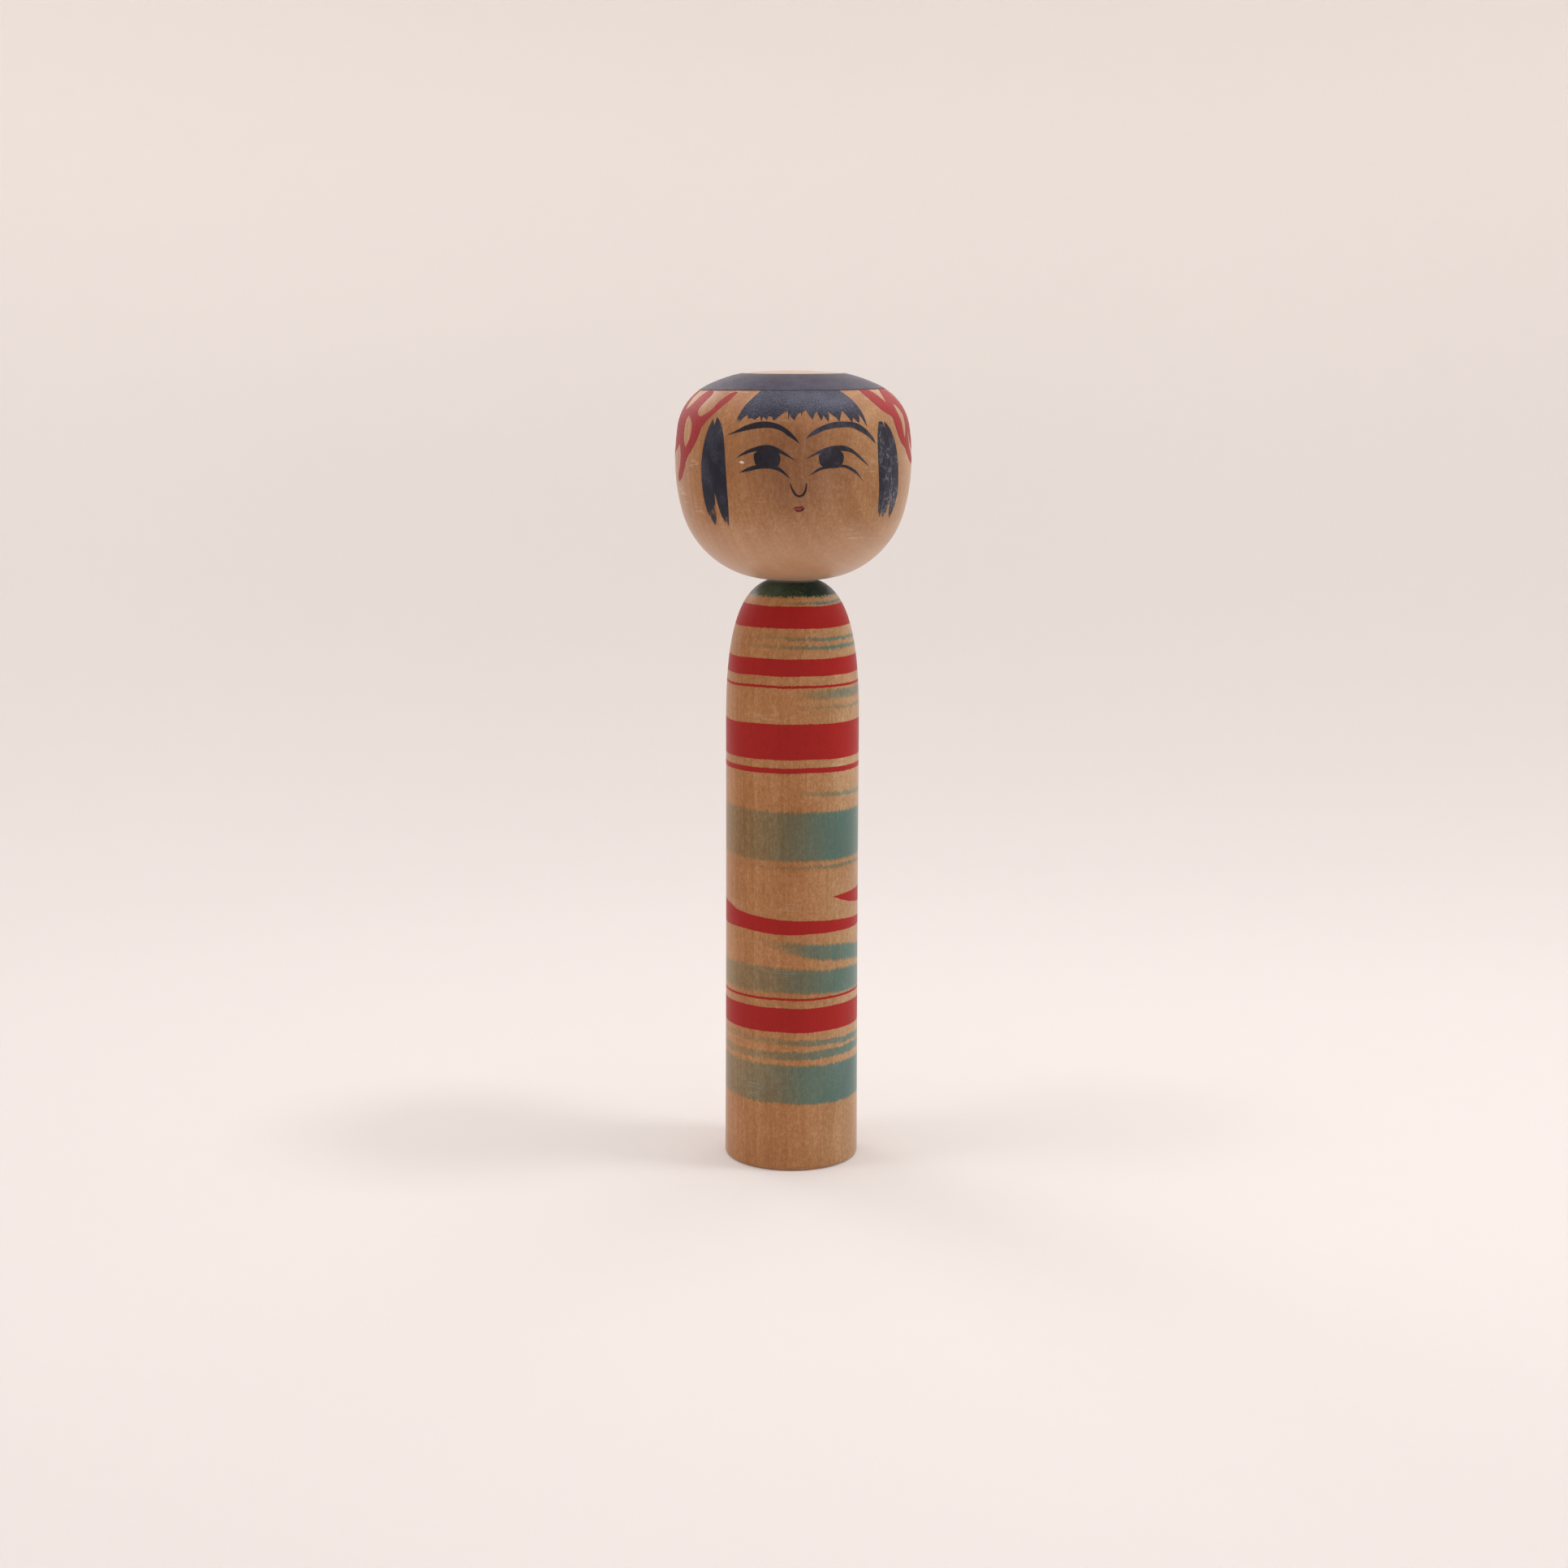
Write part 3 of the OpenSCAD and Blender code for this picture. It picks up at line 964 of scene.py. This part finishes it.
KASE_RIGHT_GAP = [
    (62.4, 230.6, 1), (66.2, 229.8), (69.5, 227.4), (68.6, 224.8), (67.2, 222.2), (65.3, 220.5, 1),
    (64, 222.8), (63.4, 225.6), (62, 228.3),
]
CHIP = [(-29.9, 214.5), (-28.9, 214.8), (-27.6, 214.5), (-27.4, 214.2), (-28.7, 214.1)]

# -------------------- build the doll

body_line = smooth_outline(meridian("body"), LATHE_STEP)
head_outline = smooth_outline(meridian("head"), LATHE_STEP)
head_line = inset(head_outline, WOOD_INSET)
surface = HeadSurface(head_outline)

body = lathe("turned_body", body_line, body_material())
head = lathe("turned_head", head_line, head_material())
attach(body, "body")
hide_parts("body")
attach(head, "head")
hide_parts("head")

HAIR = ink("ink_hair", INK, 0.85, roughness=0.22, gloss=0.65, fade=0.25)
RING = ink(
    "ink_ring", RING_INK, 0.85, roughness=0.32, gloss=0.55, tint=MAUVE, strokes=BRUSHED_ROUND, fade=0.35
)
LOCK = ink("ink_lock", INK, 0.88, roughness=0.42, fade=0.25, scuff=0.12)
LOCK_WORN = ink("ink_lock_worn", INK, 0.88, roughness=0.42, wear=0.03, fade=0.22, scuff=0.55)
LINE = ink("ink_line", LINE_INK, 0.9, roughness=0.48, fade=0.15)
LINE_WORN = ink("ink_line_worn", WORN_LINE_INK, 0.9, roughness=0.48, fade=0.5)
RIM_LINE = ink("ink_rim", RIM_INK, 0.8, roughness=0.5, gloss=0.3, strokes=BRUSHED_ROUND)
KASE = paint_material("red_ornament", KASE_DYE, KASE_RED, 0.68, gloss=0.3)
LIPS = paint_material("red_lips", LIP_DYE, LIP_RED, 0.75)
LIP_LINE = paint_material("red_lip_line", LIP_LINE_DYE, LIP_LINE_RED, 0.85)
CROWN_LINE = paint_material("red_crown_line", CROWN_LINE_DYE, CROWN_LINE_RED, 0.7)
CHALK = paint_material("bare_chip", WHITE, CHIP_WHITE, 0.95)

# Radius of the hair ring's inner edge, and height of its outer one
RING_INNER_RADIUS = 15.5
RING_OUTER_HEIGHT = 234.6
# Widths of the thin red line inside the ring, and of the dark line round it
CROWN_LINE_WIDTH = 0.35
RIM_ABOVE = 0.2
RIM_BELOW = 0.18
# The one line's top lies just over the ring's, and the other's just under it
RIM_LINE_RISE = 0.065
CROWN_LINE_RISE = 0.055

RING_INNER = surface.length_at_radius(RING_INNER_RADIUS)
RING_OUTER = surface.length_at(RING_OUTER_HEIGHT)


def ring_inner(turn):
    """The hair ring's inner edge, which lies a little lower in front."""
    return RING_INNER + 0.5 * cosine(turn) - 0.2 * sine(turn)


def ring_outer(turn):
    """The hair ring's outer edge, which leans a little and wavers."""
    return RING_OUTER - 0.45 * sine(turn) + 0.12 * sine(3 * turn + 20)


def crown_edge(turn):
    """The inner edge of the thin red line inside the ring."""
    return ring_inner(turn) - CROWN_LINE_WIDTH


def rim_above(turn):
    return ring_outer(turn) - RIM_ABOVE


def rim_below(turn):
    return ring_outer(turn) + RIM_BELOW


def dry_below(top, depth):
    """How dry the brush ran: 0 above a height, rising to 1 at depth below it."""
    return lambda turn, height: max(0.0, min(1.0, (top - height) / depth))


paint = [
    ring_film("hair_ring", surface, ring_inner, ring_outer, RING, TOP_COAT_RISE, rows=12),
    ring_film("hair_ring_edge", surface, rim_above, rim_below, RIM_LINE, RIM_LINE_RISE),
    ring_film("crown_line", surface, crown_edge, ring_inner, CROWN_LINE, CROWN_LINE_RISE),
    film("bangs", surface, [BANGS], HAIR, dry=dry_below(228.2, 4.0)),
    film("lock_left", surface, [LOCK_LEFT], LOCK, dry=dry_below(205.0, 7.0)),
    film("lock_right", surface, [LOCK_RIGHT], LOCK_WORN, dry=dry_below(204.0, 8.0)),
    film("brow_left", surface, [BROW_LEFT], LINE),
    film("brow_right", surface, [BROW_RIGHT], LINE_WORN),
    film("eye_left", surface, [LID_LEFT, IRIS_LEFT, LOWER_LEFT], LINE),
    film("eye_right", surface, [LID_RIGHT, IRIS_RIGHT, LOWER_RIGHT], LINE_WORN),
    film("nose", surface, [NOSE], LINE),
    film("mouth", surface, [MOUTH], LIPS),
    film("mouth_line", surface, [MOUTH_UPPER, MOUTH_LOWER], LIP_LINE, rise=TOP_COAT_RISE),
    film("kase_left", surface, [KASE_LEFT], KASE, holes=[KASE_LEFT_GAP]),
    film("kase_right", surface, [KASE_RIGHT], KASE, holes=[KASE_RIGHT_GAP]),
    film("chip", surface, [CHIP], CHALK),
]
for piece in paint:
    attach(piece, "head")

# -------------------- floor, backdrop, light

# The camera's place: azimuth, distance from the doll's axis and height in millimetres
CAMERA_TURN = -4.0
CAMERA_AWAY = 716.0
CAMERA_UP = 245.5
# Its angles: down from level, aside from the doll's axis, and about its own line of sight
CAMERA_PITCH = 10.25
CAMERA_YAW = 0.2
CAMERA_ROLL = 0.15
LENS = 54.97
SENSOR_WIDTH = 36.0

# Everything from here to the camera is in metres
FLOOR_RADIUS = 0.38
BEND_RADIUS = 0.89
BEND_STEPS = 24
WALL_TOP = 1.35
SWEEP_SEGMENTS = 96
# The paper's colour turns from the floor's to the wall's between these heights
PAPER_FLOOR = (0.72, 0.678, 0.654, 1.0)
PAPER_WALL = (0.955, 0.90, 0.867, 1.0)
PAPER_TURNS = (-0.05, 0.45)


def paper():
    """The material of the pale paper."""
    g = Graph("pale_paper")
    spot = g.node("TexCoord").outputs["Object"]
    cloud = g.noise(spot, (1.2, 1.2, 1.2), 2.0)
    fibre = g.noise(spot, (900.0, 900.0, 900.0), 2.0)
    height = g.node("SeparateXYZ", {0: spot}).outputs[2]
    share = g.ramp(g.sum(height, g.swing(cloud, 0.1)), *PAPER_TURNS)
    return g.finish(g.mix(share, PAPER_FLOOR, PAPER_WALL), 0.9, fibre, 0.02, gloss=0.1)


def sweep():
    """One seamless pale bowl of paper: a flat floor that curves up into a wall all round."""
    line = [(FLOOR_RADIUS * k / 4, 0.0) for k in range(1, 5)]
    for k in range(1, BEND_STEPS + 1):
        bend = 90.0 * k / BEND_STEPS
        line.append((FLOOR_RADIUS + BEND_RADIUS * sine(bend), BEND_RADIUS * (1 - cosine(bend))))
    line.append((FLOOR_RADIUS + BEND_RADIUS, WALL_TOP))
    turns = [360.0 * k / SWEEP_SEGMENTS for k in range(SWEEP_SEGMENTS)]
    verts = [(0.0, 0.0, 0.0)]
    verts += [round_point(turn, r, z) for r, z in line for turn in turns]

    def at(row, k):
        return 1 + row * SWEEP_SEGMENTS + k % SWEEP_SEGMENTS

    faces = []
    for k in range(SWEEP_SEGMENTS):
        faces.append((0, at(0, k), at(0, k + 1)))
        for row in range(len(line) - 1):
            faces.append((at(row, k), at(row + 1, k), at(row + 1, k + 1), at(row, k + 1)))
    obj = new_object("paper_sweep", verts, faces, paper())


FLAG_AWAY = 0.34
FLAG_HALF_TURN = 112.0
FLAG_TOP = 0.36
FLAG_SEGMENTS = 24
FLAG_BLACK = (0.01, 0.01, 0.01, 1.0)


def flag():
    """The dark side of the room in front of the doll, which only its gloss shows."""
    g = Graph("flag_black")
    inputs = {"Base Color": FLAG_BLACK, "Roughness": 1.0, "Specular IOR Level": 0.0}
    shader = g.node("BsdfPrincipled", inputs)
    g.tree.links.new(shader.outputs[0], g.node("OutputMaterial").inputs[0])
    first = CAMERA_TURN - FLAG_HALF_TURN
    turns = [first + 2 * FLAG_HALF_TURN * k / FLAG_SEGMENTS for k in range(FLAG_SEGMENTS + 1)]
    verts = [round_point(turn, FLAG_AWAY, z) for z in (0.0, FLAG_TOP) for turn in turns]
    above = len(turns)
    faces = [(k, k + 1, k + 1 + above, k + above) for k in range(FLAG_SEGMENTS)]
    obj = new_object("front_flag", verts, faces, g.material)
    obj.visible_camera = False
    obj.visible_diffuse = False
    obj.visible_shadow = False
    obj.visible_transmission = False


LAMP_WHITE = (1.0, 0.985, 1.0)
FILL_WHITE = (1.0, 0.99, 0.99)
AIR_COLOUR = (1.0, 0.98, 0.96, 1.0)
AIR_STRENGTH = 0.38


def softbox(name, place, target, size, power, colour=LAMP_WHITE, spread=180.0, glossy=True, shadow=True):
    """A soft area light. A light that isn't glossy doesn't show in the doll's gloss."""
    light = bpy.data.lights.new(name, "AREA")
    light.shape = "RECTANGLE"
    light.size, light.size_y = size
    light.energy = power
    light.color = colour
    light.spread = math.radians(spread)
    light.use_shadow = shadow
    obj = bpy.data.objects.new(name, light)
    obj.location = place
    obj.rotation_euler = (Vector(target) - Vector(place)).to_track_quat("-Z", "Y").to_euler()
    obj.visible_glossy = glossy
    obj.visible_camera = False
    bpy.context.scene.collection.objects.link(obj)


def softbox_pair(name, place, target, size, left, right, **settings):
    """Two lights that mirror each other in X, with their own powers. place is the right one's."""
    x, y, z = place
    softbox(name + "_left", (-x, y, z), target, size, left, **settings)
    softbox(name + "_right", place, target, size, right, **settings)


BASE = (0.0, 0.0, 0.0)
MIDDLE = (0.0, 0.0, 0.12)
FACE = (0.0, 0.0, 0.2)

sweep()
flag()
softbox("overhead", (0.0, 0.10, 1.5), BASE, (1.2, 1.0), 4.4)
softbox("overhead_matt", (0.0, 0.10, 1.6), BASE, (1.2, 1.0), 1.75, glossy=False)
softbox_pair("bank", (0.6, -0.13, 1.4), FACE, (0.22, 0.22), 0.9, 2.0, spread=130.0)
softbox_pair("rim", (0.6, 0.85, 0.8), FACE, (0.5, 0.5), 0.55, 0.2, spread=90.0)
softbox_pair(
    "fill", (0.85, -0.1, 0.6), MIDDLE, (0.6, 0.6), 0.5, 1.25,
    colour=FILL_WHITE, spread=110.0, glossy=False, shadow=False,
)

world = bpy.data.worlds.new("studio_air")
world.use_nodes = True
air = world.node_tree.nodes["Background"]
air.inputs["Color"].default_value = AIR_COLOUR
air.inputs["Strength"].default_value = AIR_STRENGTH
bpy.context.scene.world = world

# -------------------- camera

camera = bpy.data.objects.new("camera", bpy.data.cameras.new("camera"))
camera.data.lens = LENS
camera.data.sensor_width = SENSOR_WIDTH
camera.data.clip_start = 0.01
camera.data.clip_end = 20.0
camera.location = Vector(round_point(CAMERA_TURN, CAMERA_AWAY, CAMERA_UP)) * MM
upwards = math.radians(90.0 - CAMERA_PITCH)
towards = math.radians(CAMERA_TURN + CAMERA_YAW)
look = Euler((upwards, 0.0, towards), "XYZ").to_matrix()
roll = Euler((0.0, 0.0, math.radians(CAMERA_ROLL)), "XYZ").to_matrix()
camera.rotation_euler = (look @ roll).to_euler()
bpy.context.scene.collection.objects.link(camera)
bpy.context.scene.camera = camera

view = bpy.context.scene.view_settings
view.view_transform = "Standard"
view.look = "None"
view.exposure = 0.0
view.gamma = 1.0

bpy.context.view_layer.update()
